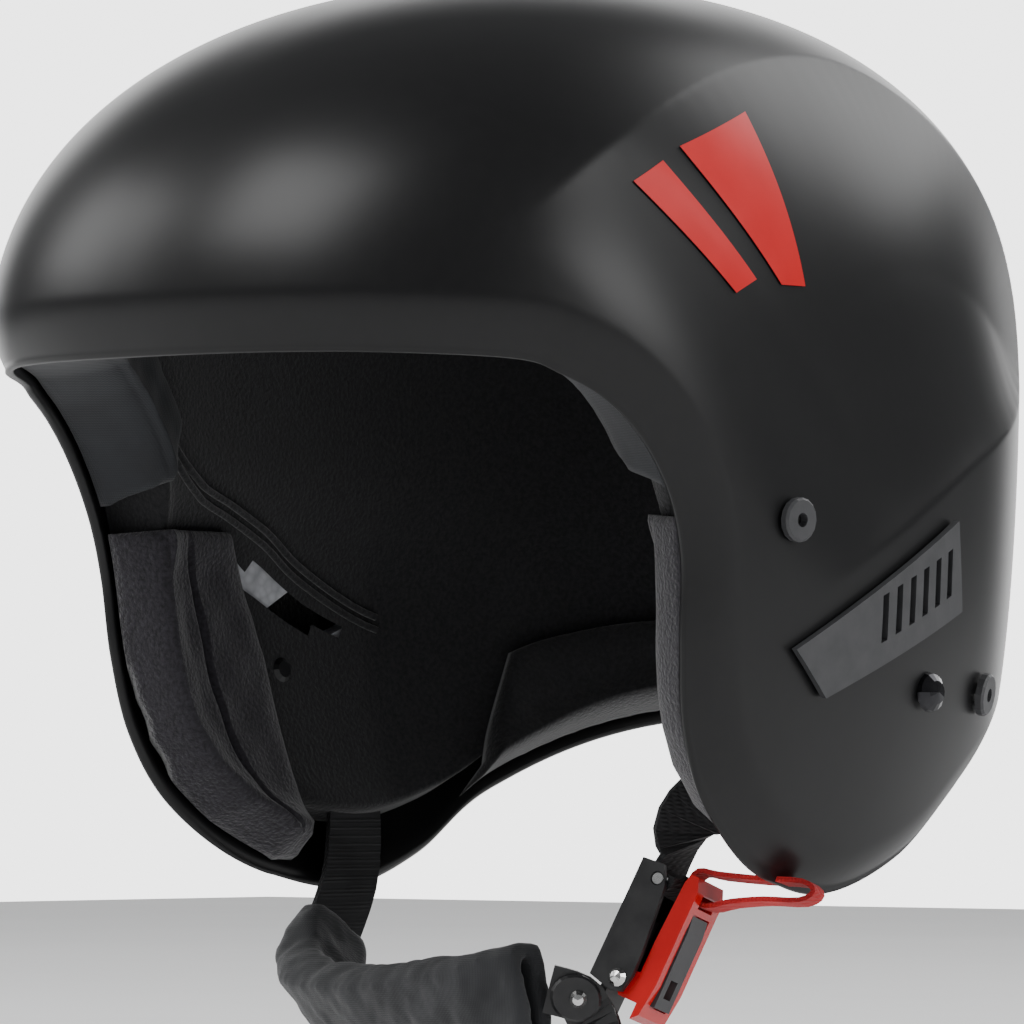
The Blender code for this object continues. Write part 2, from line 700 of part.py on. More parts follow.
FORWARD = (0, -1, 0)
ANCHOR_X = 0.0985
STRAP_LEFT_PATH = [
    ((ANCHOR_X, 0.042, 0.063), FORWARD), ((ANCHOR_X, 0.042, 0.055), FORWARD),
    ((0.0955, 0.040, 0.046), FORWARD), ((0.0885, 0.031, 0.0385), (0, -0.86, 0.5)),
    ((0.078, 0.015, 0.033), (0, -0.45, 0.89)), ((0.068, 0.002, 0.0285), (-0.2, -0.6, 0.75)),
    ((0.0630, -0.0030, 0.0222), (-0.30, -0.88, 0.36)),
]
STRAP_RIGHT_PATH = [
    ((-ANCHOR_X, 0.042, 0.063), FORWARD), ((-ANCHOR_X, 0.042, 0.055), FORWARD),
    ((-0.0955, 0.040, 0.042), FORWARD), ((-0.0885, 0.034, 0.024), FORWARD),
    ((-0.0800, 0.0235, 0.007), FORWARD), ((-0.0765, 0.014, -0.006), FORWARD),
    ((-0.0745, 0.008, -0.0135), (0.1, -0.99, 0.1)), ((-0.0675, -0.002, -0.0225), (0.2, -0.9, 0.4)),
    ((-0.0510, -0.0135, -0.0275), (0.1, -0.64, 0.77)), ((-0.0280, -0.0220, -0.0285), (0, -0.5, 0.86)),
    ((-0.0035, -0.0285, -0.0275), (0, -0.35, 0.93)), ((0.0200, -0.0330, -0.0245), (0.05, -0.15, 0.98)),
    ((0.0368, -0.0325, -0.0213), (0.15, 0.02, 0.98)),
]
SLEEVE_START = 5 / 12      # shares of the right strap's path that the padded sleeve covers
SLEEVE_WIDTH = 0.027
SLEEVE_THICK = 0.013
TONGUE_WIDTH = 0.0125
TONGUE_THICK = 0.0020
PLATE_MIDDLE = (0.0459, -0.0259, -0.0225)
PLATE_UP = (0.28, 0.14, 0.95)
PLATE_RUN = (0.69, 0.63, -0.30)
TONGUE_LOOP = [
    ((0.0403, -0.0309, -0.0202), PLATE_UP), (PLATE_MIDDLE, PLATE_UP),
    ((0.0470, -0.0230, -0.0264), (0.50, 0.06, 0.86)), ((0.0474, -0.0190, -0.0313), (0.78, -0.22, 0.55)),
    ((0.0476, -0.0163, -0.0355), (0.80, -0.59, 0.07)), ((0.0450, -0.0166, -0.0370), (0.59, -0.80, 0.07)),
    ((0.0435, -0.0173, -0.0332), (0.40, -0.90, 0.17)),
]


def make_straps():
    across = -BUCKLE_ACROSS
    along, out = BAR_PLACE
    wrap = [buckle_place(along + a, out + o) for a, o in STRAP_WRAP]
    path = STRAP_LEFT_PATH + [(tuple(place), tuple(across)) for place in wrap]
    left = make_ribbon("strap_left", path, STRAP_WIDTH, WEBBING, "webbing_black", 3)
    right = make_ribbon("strap_right", STRAP_RIGHT_PATH[:-1], STRAP_WIDTH, WEBBING, "webbing_black", 3)
    holes = bmesh.new()
    for _, side in SIDES:
        middle, _ = side_place(*STRAP_PIVOT, side)
        drum(holes, middle, (side, 0, 0), 0.0032, -0.012, -0.001, 14)
    tool = cutter("tool_strap_holes", holes)
    cut(left, tool)
    cut(right, tool)
    make_sleeve()


def make_sleeve():
    """The padded sleeve is a tube, open at both ends, that the webbing runs through."""
    def swell(share):
        ease = min(1, max(0, share) / 0.2) ** 0.5
        return 0.78 + 0.22 * ease, 0.55 + 0.45 * ease

    bm = bmesh.new()
    rows = []
    for width, thickness, taper in ((SLEEVE_WIDTH, SLEEVE_THICK, swell),
                                    (STRAP_WIDTH + 0.0016, WEBBING + 0.0016, None)):
        rings = ribbon_rings(STRAP_RIGHT_PATH, width, thickness, 3, taper, SLEEVE_START, 1.0)
        rows.append(loft(bm, [corners_of(ring, 0.14) for ring in rings], caps=False))
    stitch(bm, rows[0][0], rows[1][0])
    stitch(bm, rows[0][-1], rows[1][-1])
    add("chin_sleeve", bm, "sleeve_nylon")


def make_tongue():
    across = tuple(-BUCKLE_ACROSS)
    path = TONGUE_LOOP + [(tuple(buckle_place(place, -4.7)), across) for place in (-8, -3, 7, 17)]
    make_ribbon("ratchet_tongue", path, TONGUE_WIDTH, TONGUE_THICK, "black_plastic", 3)
    middle = Vector(PLATE_MIDDLE)
    up = Vector(PLATE_UP).normalized()
    run = Vector(PLATE_RUN)
    run = (run - up * run.dot(up)).normalized()
    out = run.cross(up).normalized()
    if out.y > 0:
        out = -out
    bm = bmesh.new()
    outline = []
    for k in range(20):
        angle = 2 * pi * k / 20
        outline.append((cos(angle) * 0.0066 - 0.0006, sin(angle) * 0.0060))
    rings = [[middle + run * (x * size) + up * (y * size) + out * away for x, y in outline]
             for away, size in ((0.0016, 1.0), (0.0030, 1.0), (0.0038, 0.9))]
    loft(bm, rings)
    plate = add("tongue_plate", bm, "black_plastic")
    bm = bmesh.new()
    drum(bm, middle, out, 0.0017, -0.01, 0.01, 12)
    bore = cutter("tool_tongue_bore", bm)
    cut(plate, bore)
    rivet = ((0, 0.0062), (0.0014, 0.0058), (0.0023, 0.0042), (0.0014, 0.0041), (0.0014, 0.0014), (0, 0.0014))
    add("tongue_rivet", turned(middle, out, rivet, 14, bore=False), "steel")


def slab(name, outline, low, high, material):
    """A flat outline of (along, out) in the buckle's side view, pushed across it."""
    bm = bmesh.new()
    loft(bm, [[buckle_place(a, o, w) for a, o in outline] for w in (low, high)])
    return add(name, bm, material)


STRAP_WRAP = ((8.5, -2.7), (3.5, -2.7), (0, -2.7), (-2.4, -1.3), (-2.4, 1.3), (0, 2.6), (2.0, 2.6))


def buckle_tool(name, along, out, radius, reach=20.0, segments=14):
    bm = bmesh.new()
    drum(bm, buckle_place(along, out), BUCKLE_ACROSS, radius / 1000, -reach / 1000, reach / 1000, segments)
    return cutter(name, bm)


def make_buckle():
    side_view = [(-2.0, -7.6), (30.5, -7.6), (31, -1.5), (26, 1.2), (8, 3.2), (2, 3.4), (-2.8, 2.4), (-3.6, -1)]
    frame = slab("buckle_frame", side_view, -FRAME_HALF, FRAME_HALF, "black_plastic")
    inside = [(-9, -6.2), (36, -6.2), (36, 9), (-9, 9)]
    well = slab("tool_frame_well", inside, -FRAME_HALF + FRAME_WALL, FRAME_HALF - FRAME_WALL, "steel")
    well.hide_render, well.display_type = True, "WIRE"
    cut(frame, well)
    cut(frame, buckle_tool("tool_pin_hole", 0, 0, PIN_RADIUS + PIN_PLAY))
    cut(frame, buckle_tool("tool_bar_hole", *BAR_PLACE, BAR_RADIUS + PIN_PLAY))
    pin = ((0, 13.4), (1.5, 12.9), (2.4, 11.6), (PIN_RADIUS, 11.5), (PIN_RADIUS, -11.5), (2.4, -11.6),
           (1.5, -12.9), (0, -13.4))
    pin = [(radius / 1000, height / 1000) for radius, height in pin]
    add("buckle_pin", turned(BUCKLE_PIN, BUCKLE_ACROSS, pin, 14, bore=False), "steel")
    bar = ((0, 11.0), (BAR_RADIUS, 11.0), (BAR_RADIUS, -11.0), (0, -11.0))
    bar = [(radius / 1000, height / 1000) for radius, height in bar]
    add("strap_bar", turned(buckle_place(*BAR_PLACE), BUCKLE_ACROSS, bar, 12, bore=False), "steel")
    make_lever()


def make_lever():
    hub = [(3.3 * cos(a), 3.3 * sin(a)) for a in np.linspace(pi * 0.95, 2 * pi, 9)]
    side_view = hub + [(3.6, 4.0), (12, 4.0), (29, 4.7), (31.5, 5.4), (31.5, 7.6), (28, 9.2), (2, 9.4),
                       (-6.5, 8.4), (-9.2, 5.4), (-7.6, 3.0)]
    lever = slab("release_lever", side_view, -LEVER_HALF, LEVER_HALF, "red_lacquer")
    cut(lever, buckle_tool("tool_lever_bore", 0, 0, PIN_RADIUS + PIN_PLAY))
    tools = (("tool_lever_gap", [(-12, -6), (5, -6), (5, 3.9), (-12, 3.9)], 5.6),
             ("tool_lever_recess", [(-3.5, 7.0), (22.5, 7.2), (22.5, 12), (-3.5, 12)], 5.4),
             ("tool_lever_relief", [(-14, -2), (-3.9, -2), (-3.9, 6.5), (-14, 6.5)], 12.0),
             ("tool_lever_slot", [(24.2, 0), (27.6, 0), (27.6, 12), (24.2, 12)], 4.6))
    for name, outline, half in tools:
        tool = slab(name, outline, -half, half, "steel")
        tool.hide_render, tool.display_type = True, "WIRE"
        cut(lever, tool)
    insert = [(-3.1, 7.35), (22.1, 7.55), (22.1, 9.1), (18, 9.7), (-3.1, 9.9)]
    plate = slab("lever_insert", insert, -5.0, 5.0, "grey_plastic")
    window = slab("tool_insert_window", [(0, 6), (5, 6), (5, 12), (0, 12)], -2.2, 2.2, "steel")
    window.hide_render, window.display_type = True, "WIRE"
    cut(plate, window)
    spring_path = []
    for k in range(SPRING_STEPS + 1):
        share = k / SPRING_STEPS
        angle = 2 * pi * SPRING_TURNS * share
        spring_path.append(tuple(buckle_place(SPRING_RADIUS * cos(angle), SPRING_RADIUS * sin(angle),
                                              SPRING_HALF * (2 * share - 1))))
    make_wire("lever_spring", spring_path, SPRING_WIRE)
    loop = [(25.9, 4.0), (25.9, 10.4), (29.5, 16), (33.5, 24), (37.0, 33), (40.5, 35.5), (41.6, 31.5),
            (38.0, 21), (34.6, 10), (33.2, 4.4), (29.0, 3.3)]
    make_pull_loop(loop)


def make_wire(name, places, radius):
    """A round wire through the places."""
    curve = bpy.data.curves.new(name, "CURVE")
    curve.dimensions = "3D"
    curve.bevel_depth = radius
    curve.bevel_resolution = 1
    curve.use_fill_caps = True
    line = curve.splines.new("POLY")
    line.points.add(len(places) - 1)
    for point, place in zip(line.points, places):
        point.co = (*place, 1)
    curve.materials.append(finish("steel"))
    made = bpy.data.objects.new(name, curve)
    bpy.context.scene.collection.objects.link(made)
    made.parent = bpy.data.objects["helmet_frame"]


def make_pull_loop(outline):
    """The pull tape: a closed band through the lever's slot and round its end bar."""
    points = np.array(outline)
    closed = np.vstack([points[-1], points, points[:2]])
    curve = smooth_curve(closed, 3)[3:-3]
    before, after = np.roll(curve, 1, axis=0), np.roll(curve, -1, axis=0)
    run = after - before
    run /= np.linalg.norm(run, axis=1, keepdims=True)
    normal = np.stack([-run[:, 1], run[:, 0]], 1)
    bm = bmesh.new()
    rings = []
    for (a, o), (na, no) in zip(curve, normal * LOOP_THICK):
        rings.append([buckle_place(a + na, o + no, LOOP_HALF), buckle_place(a + na, o + no, -LOOP_HALF),
                      buckle_place(a - na, o - no, -LOOP_HALF), buckle_place(a - na, o - no, LOOP_HALF)])
    rows = loft(bm, rings, caps=False)
    stitch(bm, rows[-1], rows[0])
    add("pull_loop", bm, "webbing_red")


def main():
    clear_scene()
    hanger = bpy.data.objects.new("helmet_frame", None)
    hanger.location.z = -HEAD_HEIGHT
    bpy.context.scene.collection.objects.link(hanger)
    make_shell()
    make_foam()
    make_crown_liner()
    make_ear_pads()
    make_rim_pads()
    make_side_hardware()
    make_straps()
    make_tongue()
    make_buckle()


main()
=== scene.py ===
"""Looks of the hard-ear ski racing helmet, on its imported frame."""
import json
from math import cos, pi, radians, sin

import bmesh
import bpy
import numpy as np
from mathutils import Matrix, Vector


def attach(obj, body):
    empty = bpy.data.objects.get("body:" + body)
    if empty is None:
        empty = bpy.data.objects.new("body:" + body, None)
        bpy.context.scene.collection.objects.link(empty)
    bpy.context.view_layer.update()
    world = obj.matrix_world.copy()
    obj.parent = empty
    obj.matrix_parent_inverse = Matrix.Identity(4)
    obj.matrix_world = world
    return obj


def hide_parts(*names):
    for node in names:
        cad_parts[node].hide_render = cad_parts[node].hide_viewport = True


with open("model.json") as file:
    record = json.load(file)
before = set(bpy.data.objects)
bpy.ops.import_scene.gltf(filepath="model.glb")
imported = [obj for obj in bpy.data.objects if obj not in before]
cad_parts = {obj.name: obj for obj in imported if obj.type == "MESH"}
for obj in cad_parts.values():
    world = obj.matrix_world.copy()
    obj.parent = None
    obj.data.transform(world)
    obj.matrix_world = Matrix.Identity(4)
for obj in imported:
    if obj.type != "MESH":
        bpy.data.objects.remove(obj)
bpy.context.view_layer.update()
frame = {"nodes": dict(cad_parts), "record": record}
nodes = frame["nodes"]

# ---- view, floor and light ------------------------------------------------------------------
CAMERA_PLACE = (1.2706, -1.4111, -0.1753)
CAMERA_TARGET = (0.0, 0.0, -0.109)
CAMERA_LENS = 255.8
FLOOR_HEIGHT = -0.270
FLOOR_HALF = 2.4
WALL_PLACE = (-12.07, 13.5, -0.1)    # far beyond any view of the object, so it hides none
WALL_SCALE = 3.9


# ---- driving dimensions -------------------------------------------------------------------
HEAD_HEIGHT = 0.2115     # crown of the wearer's head above the ear bottoms: the part's origin
EQUATOR = 0.140          # height of the shell's widest section
CROWN = 0.241            # height of the shell's top
HALF_LENGTH = 0.146      # front to back, at the equator
HALF_WIDTH = 0.1145      # ear to ear, at the equator
BLUNT = 2.25             # exponent of the super-ellipse sections
CROWN_BACK = 0.012       # the crown sits this far behind the middle
SHELL_WALL = 0.003
FOAM_CROWN = 0.0235      # foam's inner face below the shell's outer face, at the crown
FOAM_EAR = 0.0125        # the same at the ears
PAD_PLAY = 0.0026
RIM_TUCK = 0.0045        # how far the shell's rim bends inwards
RIM_BAND = 0.014         # width of the bevelled band along the rim
PANEL_DEPTH = 0.0065     # depth of the recessed side panel
PANEL_FALL = 0.017       # distance over which the panel falls away from its ridge

# Side view of the rim from brow to nape (y, z), in millimetres
RIM_SIDE = ((-97, 136.5), (-87, 133.2), (-75, 127), (-64, 117), (-55, 103), (-50.3, 87),
            (-48.5, 66), (-44, 45), (-32, 26), (-6, 9), (26, 3), (56, 12), (84, 30))
BROW_HEIGHT = 0.1385
NAPE_HEIGHT = 0.054
# Side view of the ridge round the recessed panel (y, z), in millimetres: open at the front
RIDGE_SIDE = ((-100, 166), (-63, 191), (-18, 210.5), (33, 219), (67, 210), (94, 191),
              (112, 162), (106, 134), (56, 112), (18, 93), (-11, 77))
PANEL_FADE = 0.045

SIDES = (("left", 1), ("right", -1))


# ---- the shell's surface ------------------------------------------------------------------
def signed_power(value, power):
    return np.sign(value) * np.abs(value) ** power


def section(z):
    """Half width, half length and middle of the shell's section at height z."""
    z = np.asarray(z, float)
    rise = np.clip((z - EQUATOR) / (CROWN - EQUATOR), 0, 1)
    round_in = (1 - rise ** BLUNT) ** (1 / BLUNT)
    drop = np.clip((EQUATOR - z) / EQUATOR, 0, 1.3)
    width = HALF_WIDTH * round_in * (1 - 0.10 * drop ** 1.5 - 0.13 * drop ** 5)
    length = HALF_LENGTH * round_in * (1 - 0.05 * drop ** 2 - 0.07 * drop ** 4)
    return width, length, CROWN_BACK * rise ** 2


def at_angle(angle, z):
    """Point of the smooth shell at an angle round it (0 front, pi nape) and a height."""
    width, length, middle = section(z)
    x = width * signed_power(np.sin(angle), 2 / BLUNT)
    y = middle - length * signed_power(np.cos(angle), 2 / BLUNT)
    return np.stack([x, y, np.broadcast_to(z, np.shape(x))], -1)


def angle_at(y, z):
    _, length, middle = section(z)
    ahead = np.clip((middle - y) / length, -1, 1)
    return np.arccos(signed_power(ahead, BLUNT / 2))


def on_map(p, q):
    """Point of the shell from map coordinates: the crown is 0, the equator the unit circle."""
    radius = np.hypot(p, q)
    angle = np.arctan2(p, -q)
    cap = np.clip(radius, 1e-9, 1)
    rise = np.clip(1 - np.sin(cap * pi / 2) ** BLUNT, 0, 1) ** (1 / BLUNT)
    z = np.where(radius <= 1, EQUATOR + (CROWN - EQUATOR) * rise, EQUATOR * (2 - radius))
    return at_angle(angle, z)


def normal_on_map(p, q):
    """Outward normal of the smooth shell at map coordinates."""
    step = 1e-3
    along_p = on_map(p + step, q) - on_map(p - step, q)
    along_q = on_map(p, q + step) - on_map(p, q - step)
    normal = np.cross(along_p, along_q)
    normal /= np.linalg.norm(normal, axis=-1, keepdims=True)
    facing = np.sum(normal * (on_map(p, q) - np.array([0, 0, EQUATOR - 0.06])), -1, keepdims=True)
    return normal * np.sign(facing)


def smooth_curve(points, steps):
    """Catmull-Rom curve through the points."""
    points = np.asarray(points, float)
    padded = np.vstack([2 * points[0] - points[1], points, 2 * points[-1] - points[-2]])
    curve = []
    for index in range(len(points) - 1):
        a, b, c, d = padded[index:index + 4]
        for t in np.arange(steps) / steps:
            curve.append(0.5 * (2 * b + (c - a) * t + (2 * a - 5 * b + 4 * c - d) * t * t
                                + (3 * b - a - 3 * c + d) * t ** 3))
    curve.append(points[-1])
    return np.array(curve)


def rim_map(count):
    """The rim as map coordinates, evenly spaced, from the brow round the left ear and back."""
    reach = 0.128
    half = [(0.0, BROW_HEIGHT), (0.35, BROW_HEIGHT), (0.62, BROW_HEIGHT - 0.0005)]
    half += [(float(angle_at(y / 1000, z / 1000)), z / 1000) for y, z in RIM_SIDE]
    half += [(2.55, NAPE_HEIGHT - 0.008), (pi, NAPE_HEIGHT)]
    curve = smooth_curve([(angle * reach, z) for angle, z in half], 12)
    angle, z = curve[:, 0] / reach, curve[:, 1]
    points = at_angle(angle, z)
    run = np.concatenate([[0], np.cumsum(np.linalg.norm(np.diff(points, axis=0), axis=1))])
    even = np.linspace(0, run[-1], count // 2 + 1)
    angle, z = np.interp(even, run, angle), np.interp(even, run, z)
    radius = 2 - z / EQUATOR
    p, q = radius * np.sin(angle), -radius * np.cos(angle)
    return np.concatenate([p, -p[-2:0:-1]]), np.concatenate([q, q[-2:0:-1]])


MAP_MIDDLE = 0.55
MAP_SPREAD = 1.25
RIM_COUNT = 112


def shell_map(ring, count):
    """Map coordinates of one ring of the shell's grid: 0 is the middle, 1 the rim."""
    p, q = rim_map(count)
    turn = 2 * pi * np.arange(count) / count
    even_p, even_q = MAP_SPREAD * np.sin(turn), -MAP_SPREAD * np.cos(turn)
    return (ring * ((1 - ring) * even_p + ring * p),
            MAP_MIDDLE + ring * ((1 - ring) * even_q + ring * (q - MAP_MIDDLE)))


def distance_to_line(points, line):
    """Shortest distance from each point to a polyline."""
    best = np.full(len(points), 1e9)
    for start, end in zip(line[:-1], line[1:]):
        run = end - start
        along = np.clip((points - start) @ run / (run @ run), 0, 1)
        best = np.minimum(best, np.linalg.norm(points - start - along[:, None] * run, axis=1))
    return best


def inside_outline(points, outline):
    """Whether each 2-D point lies inside a closed outline."""
    inside = np.zeros(len(points), bool)
    for (y0, z0), (y1, z1) in zip(outline, np.roll(outline, -1, axis=0)):
        crosses = (z0 > points[:, 1]) != (z1 > points[:, 1])
        level = y0 + (points[:, 1] - z0) * (y1 - y0) / (z1 - z0 if z1 != z0 else 1e-9)
        inside ^= crosses & (points[:, 0] < level)
    return inside


RIDGE = smooth_curve(RIDGE_SIDE, 6) / 1000


def panel_depth(points):
    """How far the side panel lies below the smooth shell at these points."""
    side = points[:, 1:]
    inside = inside_outline(side, RIDGE)
    fall = distance_to_line(side, RIDGE)
    fade = np.clip(distance_to_line(side, np.array([RIDGE[-1], RIDGE[0]])) / PANEL_FADE, 0, 1)
    fade = fade * fade * (3 - 2 * fade)
    return np.where(inside, PANEL_DEPTH * fade * (1 - np.exp(-fall / PANEL_FALL)), 0)


RIM_P, RIM_Q = rim_map(240)
RIM_LINE = on_map(np.append(RIM_P, RIM_P[0]), np.append(RIM_Q, RIM_Q[0]))


def rim_depth(points):
    """How far the bevelled band along the rim bends inwards."""
    near = np.clip(1 - distance_to_line(points, RIM_LINE) / RIM_BAND, 0, 1)
    return RIM_TUCK * near ** 1.5


def shell_point(p, q, depth, follow=1.0):
    """Points at a depth below the finished outer face of the shell."""
    p, q = np.atleast_1d(p), np.atleast_1d(q)
    points = on_map(p, q)
    relief = follow * panel_depth(points) + rim_depth(points)
    return points - normal_on_map(p, q) * (relief + depth)[:, None]


def foam_depth(points):
    """Depth of the foam's inner face: thick over the crown, thin round the ears."""
    thin = np.clip((0.118 - points[:, 2]) / 0.045, 0, 1)
    thin = thin * thin * (3 - 2 * thin)
    nape = np.clip((points[:, 1] - 0.045) / 0.04, 0, 1)
    thin = thin * (1 - 0.75 * nape)
    return FOAM_CROWN + (FOAM_EAR - FOAM_CROWN) * thin


def map_at_side(y, z, side):
    """Map coordinates of a place on the shell's side, from its side view."""
    angle = angle_at(np.asarray(y, float), np.asarray(z, float))
    z = np.asarray(z, float)
    rise = np.clip((z - EQUATOR) / (CROWN - EQUATOR), 0, 1)
    cap = np.arcsin(np.clip((1 - rise ** BLUNT) ** (1 / BLUNT), 0, 1)) * 2 / pi
    radius = np.where(z > EQUATOR, cap, 2 - z / EQUATOR)
    return side * radius * np.sin(angle), -radius * np.cos(angle)


def behind_foam(points, reach=0.006):
    """Outer face of a pad: against the shell at the rim, inside the foam further in."""
    away = distance_to_line(points, RIM_LINE)
    share = np.clip((away - 0.002) / (reach - 0.002), 0, 1)
    snug = SHELL_WALL + 0.0012
    return snug + (foam_depth(points) + PAD_PLAY - snug) * share


EAR_PAD_FRONT = ((7, -2), (16, -19), (26, -31), (45, -42.5), (66, -47), (82, -48.5), (97, -51))
EAR_PAD_BACK = ((7, 6), (16, 6), (26, 5), (45, 3), (66, 0), (82, -6), (97, -16))
EAR_PAD_THICK = 0.0225


def rim_strip(first, last, rings, count=RIM_COUNT):
    """Map coordinates of a strip along the rim between two columns."""
    columns = np.arange(first, last + 1) % count
    grids = [shell_map(ring, count) for ring in rings]
    return (np.array([grid[0][columns] for grid in grids]),
            np.array([grid[1][columns] for grid in grids]))


# ---- materials ------------------------------------------------------------------------------
def start(name):
    """A node material with a texture space in the object's own coordinates."""
    made = bpy.data.materials.new(name)
    made.use_nodes = True
    tree = made.node_tree
    where = tree.nodes.new("ShaderNodeTexCoord").outputs["Object"]
    return made, tree, tree.nodes["Principled BSDF"], where


def noise(tree, where, scale, detail=4.0):
    made = tree.nodes.new("ShaderNodeTexNoise")
    made.inputs["Scale"].default_value = scale
    made.inputs["Detail"].default_value = detail
    tree.links.new(where, made.inputs["Vector"])
    return made.outputs["Fac"]


def ramp(tree, value, low, high, start_at=0.35, end_at=0.65):
    made = tree.nodes.new("ShaderNodeValToRGB")
    made.color_ramp.elements[0].position = start_at
    made.color_ramp.elements[1].position = end_at
    made.color_ramp.elements[0].color = (*low, 1)
    made.color_ramp.elements[1].color = (*high, 1)
    tree.links.new(value, made.inputs["Fac"])
    return made.outputs["Color"]


def spread(tree, value, low, high):
    made = tree.nodes.new("ShaderNodeMapRange")
    made.inputs["To Min"].default_value = low
    made.inputs["To Max"].default_value = high
    tree.links.new(value, made.inputs["Value"])
    return made.outputs["Result"]


def bump(tree, surface, height, strength, distance):
    made = tree.nodes.new("ShaderNodeBump")
    made.inputs["Strength"].default_value = strength
    made.inputs["Distance"].default_value = distance
    tree.links.new(height, made.inputs["Height"])
    tree.links.new(made.outputs["Normal"], surface.inputs["Normal"])


def worn(name, low, high, rough, grain, strength, metallic=0.0, coat=0.0, specular=0.5):
    """A finish with slight unevenness of colour and roughness and a fine surface grain."""
    made, tree, surface, where = start(name)
    patches = noise(tree, where, grain * 0.1)
    fine = noise(tree, where, grain, 6.0)
    tree.links.new(ramp(tree, patches, low, high), surface.inputs["Base Color"])
    tree.links.new(spread(tree, patches, *rough), surface.inputs["Roughness"])
    surface.inputs["Metallic"].default_value = metallic
    surface.inputs["Coat Weight"].default_value = coat
    surface.inputs["Specular IOR Level"].default_value = specular
    bump(tree, surface, fine, strength, 0.0002)
    return made


def woven(name, low, high, pitch, strength, sheen):
    """Crossed threads of a given pitch, with uneven colour."""
    made, tree, surface, where = start(name)
    threads = []
    for direction in ("X", "Z"):
        wave = tree.nodes.new("ShaderNodeTexWave")
        wave.bands_direction = direction
        wave.inputs["Scale"].default_value = 0.314 / pitch
        wave.inputs["Distortion"].default_value = 0.6
        tree.links.new(where, wave.inputs["Vector"])
        threads.append(wave.outputs["Fac"])
    cross = tree.nodes.new("ShaderNodeMath")
    cross.operation = "MULTIPLY"
    tree.links.new(threads[0], cross.inputs[0])
    tree.links.new(threads[1], cross.inputs[1])
    tree.links.new(ramp(tree, noise(tree, where, 60.0), low, high), surface.inputs["Base Color"])
    surface.inputs["Roughness"].default_value = 0.78
    surface.inputs["Sheen Weight"].default_value = sheen
    bump(tree, surface, cross.outputs["Value"], strength, 0.0003)
    return made


def fleece(name, low, high, strength):
    """Short brushed pile: clumps over a fine fuzz."""
    made, tree, surface, where = start(name)
    clumps = noise(tree, where, 900.0, 8.0)
    tree.links.new(ramp(tree, clumps, low, high), surface.inputs["Base Color"])
    surface.inputs["Roughness"].default_value = 0.95
    surface.inputs["Sheen Weight"].default_value = 0.35
    bump(tree, surface, clumps, strength, 0.0008)
    return made


def beads(name, low, high):
    """Fused foam beads."""
    made, tree, surface, where = start(name)
    cells = tree.nodes.new("ShaderNodeTexVoronoi")
    cells.inputs["Scale"].default_value = 420.0
    tree.links.new(where, cells.inputs["Vector"])
    tree.links.new(ramp(tree, cells.outputs["Distance"], high, low, 0.2, 0.9), surface.inputs["Base Color"])
    surface.inputs["Roughness"].default_value = 0.85
    bump(tree, surface, cells.outputs["Distance"], 0.4, -0.0004)
    return made


LOOKS = {
    "shell_lacquer": worn("shell_lacquer", (0.0045, 0.0045, 0.005), (0.0055, 0.0055, 0.006),
                          (0.355, 0.365), 2500, 0.03,
                           specular=0.38),
    "foam_grey": beads("foam_grey", (0.40, 0.41, 0.44), (0.60, 0.61, 0.64)),
    "liner_fabric": fleece("liner_fabric", (0.004, 0.004, 0.005), (0.014, 0.014, 0.016), 0.5),
    "brow_fabric": woven("brow_fabric", (0.009, 0.010, 0.013), (0.015, 0.017, 0.021), 0.0006, 0.25, 0.15),
    "pad_suede": fleece("pad_suede", (0.009, 0.008, 0.011), (0.028, 0.025, 0.033), 0.8),
    "grey_plastic": worn("grey_plastic", (0.048, 0.049, 0.052), (0.062, 0.062, 0.066),
                         (0.42, 0.55), 1800, 0.10),
    "black_plastic": worn("black_plastic", (0.010, 0.010, 0.011), (0.020, 0.020, 0.021),
                          (0.30, 0.42), 1800, 0.08),
    "red_lacquer": worn("red_lacquer", (0.62, 0.004, 0.005), (0.72, 0.006, 0.007),
                        (0.16, 0.26), 600, 0.02, coat=0.6),
    "badge_red": worn("badge_red", (0.68, 0.004, 0.005), (0.72, 0.006, 0.007), (0.28, 0.38), 900, 0.02),
    "steel": worn("steel", (0.62, 0.62, 0.61), (0.78, 0.78, 0.77), (0.14, 0.26), 1500, 0.03, metallic=1.0),
    "black_chrome": worn("black_chrome", (0.03, 0.03, 0.033), (0.06, 0.06, 0.064),
                         (0.08, 0.16), 900, 0.02, metallic=0.9),
    "webbing_black": woven("webbing_black", (0.007, 0.007, 0.008), (0.018, 0.018, 0.020), 0.0011, 0.8, 0.1),
    "webbing_red": woven("webbing_red", (0.45, 0.004, 0.006), (0.68, 0.010, 0.012), 0.0009, 0.8, 0.1),
    "sleeve_nylon": woven("sleeve_nylon", (0.010, 0.011, 0.013), (0.018, 0.019, 0.022), 0.0005, 0.35, 0.2),
    "mesh_black": fleece("mesh_black", (0.003, 0.003, 0.003), (0.014, 0.014, 0.014), 0.9),
}
SLOT_OF = {part["node"]: part["material_slot"] for part in frame["record"]["subparts"]}


# ---- pieces ---------------------------------------------------------------------------------
SKIN_COLUMNS, SKIN_RINGS = 720, 230
SKIN_FIRST, SKIN_EASE = 0.004, 0.9       # innermost ring of the skin, and how the rings crowd to the rim
RIM_SWELL = 0.006                        # how far the rounded rim stands proud, as a share of the ring
INNER_RINGS = (0.97, 0.93)               # rings of the shell's inner face that show past the pads
LINING_COLUMNS, LINING_RINGS = 300, 90
LINING_FIRST, LINING_LAST, LINING_WRAP = 0.01, 0.949, 0.953
WRAP_STEPS = (0.95, 0.6, 0.3, 0.0)       # the lining's turn over the foam's edge, foam face to shell
WRAP_GAP = 0.0006
PIPING_RADIUS, PIPING_RISE, PIPING_SHIFTS = 0.0010, 0.0006, (0.0, 3.6)
LINING_LIFT = 0.0026
